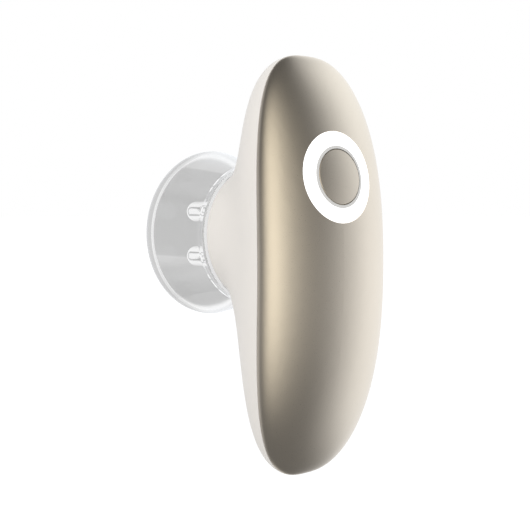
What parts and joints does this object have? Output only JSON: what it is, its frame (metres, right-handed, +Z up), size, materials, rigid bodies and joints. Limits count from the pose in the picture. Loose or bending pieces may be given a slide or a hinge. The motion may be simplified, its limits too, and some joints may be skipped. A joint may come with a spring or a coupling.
{
  "type": "facial toning device",
  "caption": "Hand-held facial toning device: oval two-shell handle with a ring-lit power button in front and a round head of metal contact posts at the back under a clear cap.",
  "frame": {"origin": "middle of the handle's height and width, at the depth where the seam of the two shells comes furthest forward", "axes": "+Z up the handle towards the button end, +Y back along the treatment head and its clear cap, +X to the right seen from the button side"},
  "size_m": [0.0556, 0.0648, 0.13],
  "materials": {
    "champagne": "satin champagne metallic coat on plastic",
    "off_white": "satin off-white",
    "light_ring": "translucent white light guide",
    "trim": "satin",
    "grey_rubber": "matt",
    "dark_plastic": "matt",
    "switch_metal": "satin",
    "white_plastic": "matt white",
    "circuit_board": "green solder mask",
    "led": "clear resin over a pale chip",
    "screw_steel": "zinc plated",
    "frame_plastic": "matt grey",
    "battery_foil": "pouch foil",
    "foam": "closed-cell foam",
    "lead_red": "insulated wire",
    "ferrite": "ferrite core",
    "copper": "enamelled copper wire",
    "can_metal": "capacitor can",
    "connector": "ivory connector",
    "socket_steel": "drawn shell",
    "flex_cable": "polyimide flexible cable",
    "brass": "plain",
    "collar_grey": "light grey",
    "post_chrome": "polished",
    "clear_plastic": "clear moulded plastic"
  },
  "bodies": {
    "handle": {"front_shell": "champagne", "rear_shell": "off_white", "light_ring": "light_ring", "button_trim": "trim", "tact_switch": "switch_metal", "ring_reflector": "white_plastic", "led_board": "circuit_board", "ring_leds": "led", "button_screws": "screw_steel", "inner_frame": "frame_plastic", "frame_screws": "screw_steel", "battery": "battery_foil", "battery_board": "circuit_board", "battery_pads": "foam", "battery_leads": "lead_red", "main_board": "circuit_board", "board_screws": "screw_steel", "control_chip": "dark_plastic", "power_parts": "dark_plastic", "pulse_transformer": "ferrite", "transformer_windings": "copper", "storage_capacitors": "can_metal", "buzzer": "dark_plastic", "board_connectors": "connector", "charge_board": "circuit_board", "charge_screws": "screw_steel", "charge_socket": "socket_steel", "socket_tongue": "dark_plastic", "charge_cable": "flex_cable", "charge_cable_socket": "connector", "ring_cable": "flex_cable", "ring_cable_socket": "connector", "electrode_cable": "flex_cable", "electrode_cable_socket": "connector", "electrode_board": "circuit_board", "post_nuts": "brass", "head_plate": "off_white", "head_collar": "collar_grey", "head_gasket": "grey_rubber", "head_screws": "screw_steel", "electrode_post_1": "post_chrome", "electrode_post_2": "post_chrome", "electrode_post_3": "post_chrome", "electrode_post_4": "post_chrome", "electrode_post_5": "post_chrome", "electrode_post_6": "post_chrome"},
    "button": {"power_button": "champagne", "button_pad": "grey_rubber", "switch_plunger": "dark_plastic"},
    "cap": {"clear_cap": "clear_plastic"}
  },
  "joints": [
    {"name": "button_press", "type": "slide", "parent": "handle", "child": "button", "axis": [0, 0.9895, -0.1444], "range_m": [0, 0.0005], "stiffness_N_per_m": 4000, "springref_m": -0.0003},
    {"name": "cap_pull", "type": "slide", "parent": "handle", "child": "cap", "axis": [0, 1, 0], "range_m": [0, 0.028]}
  ]
}
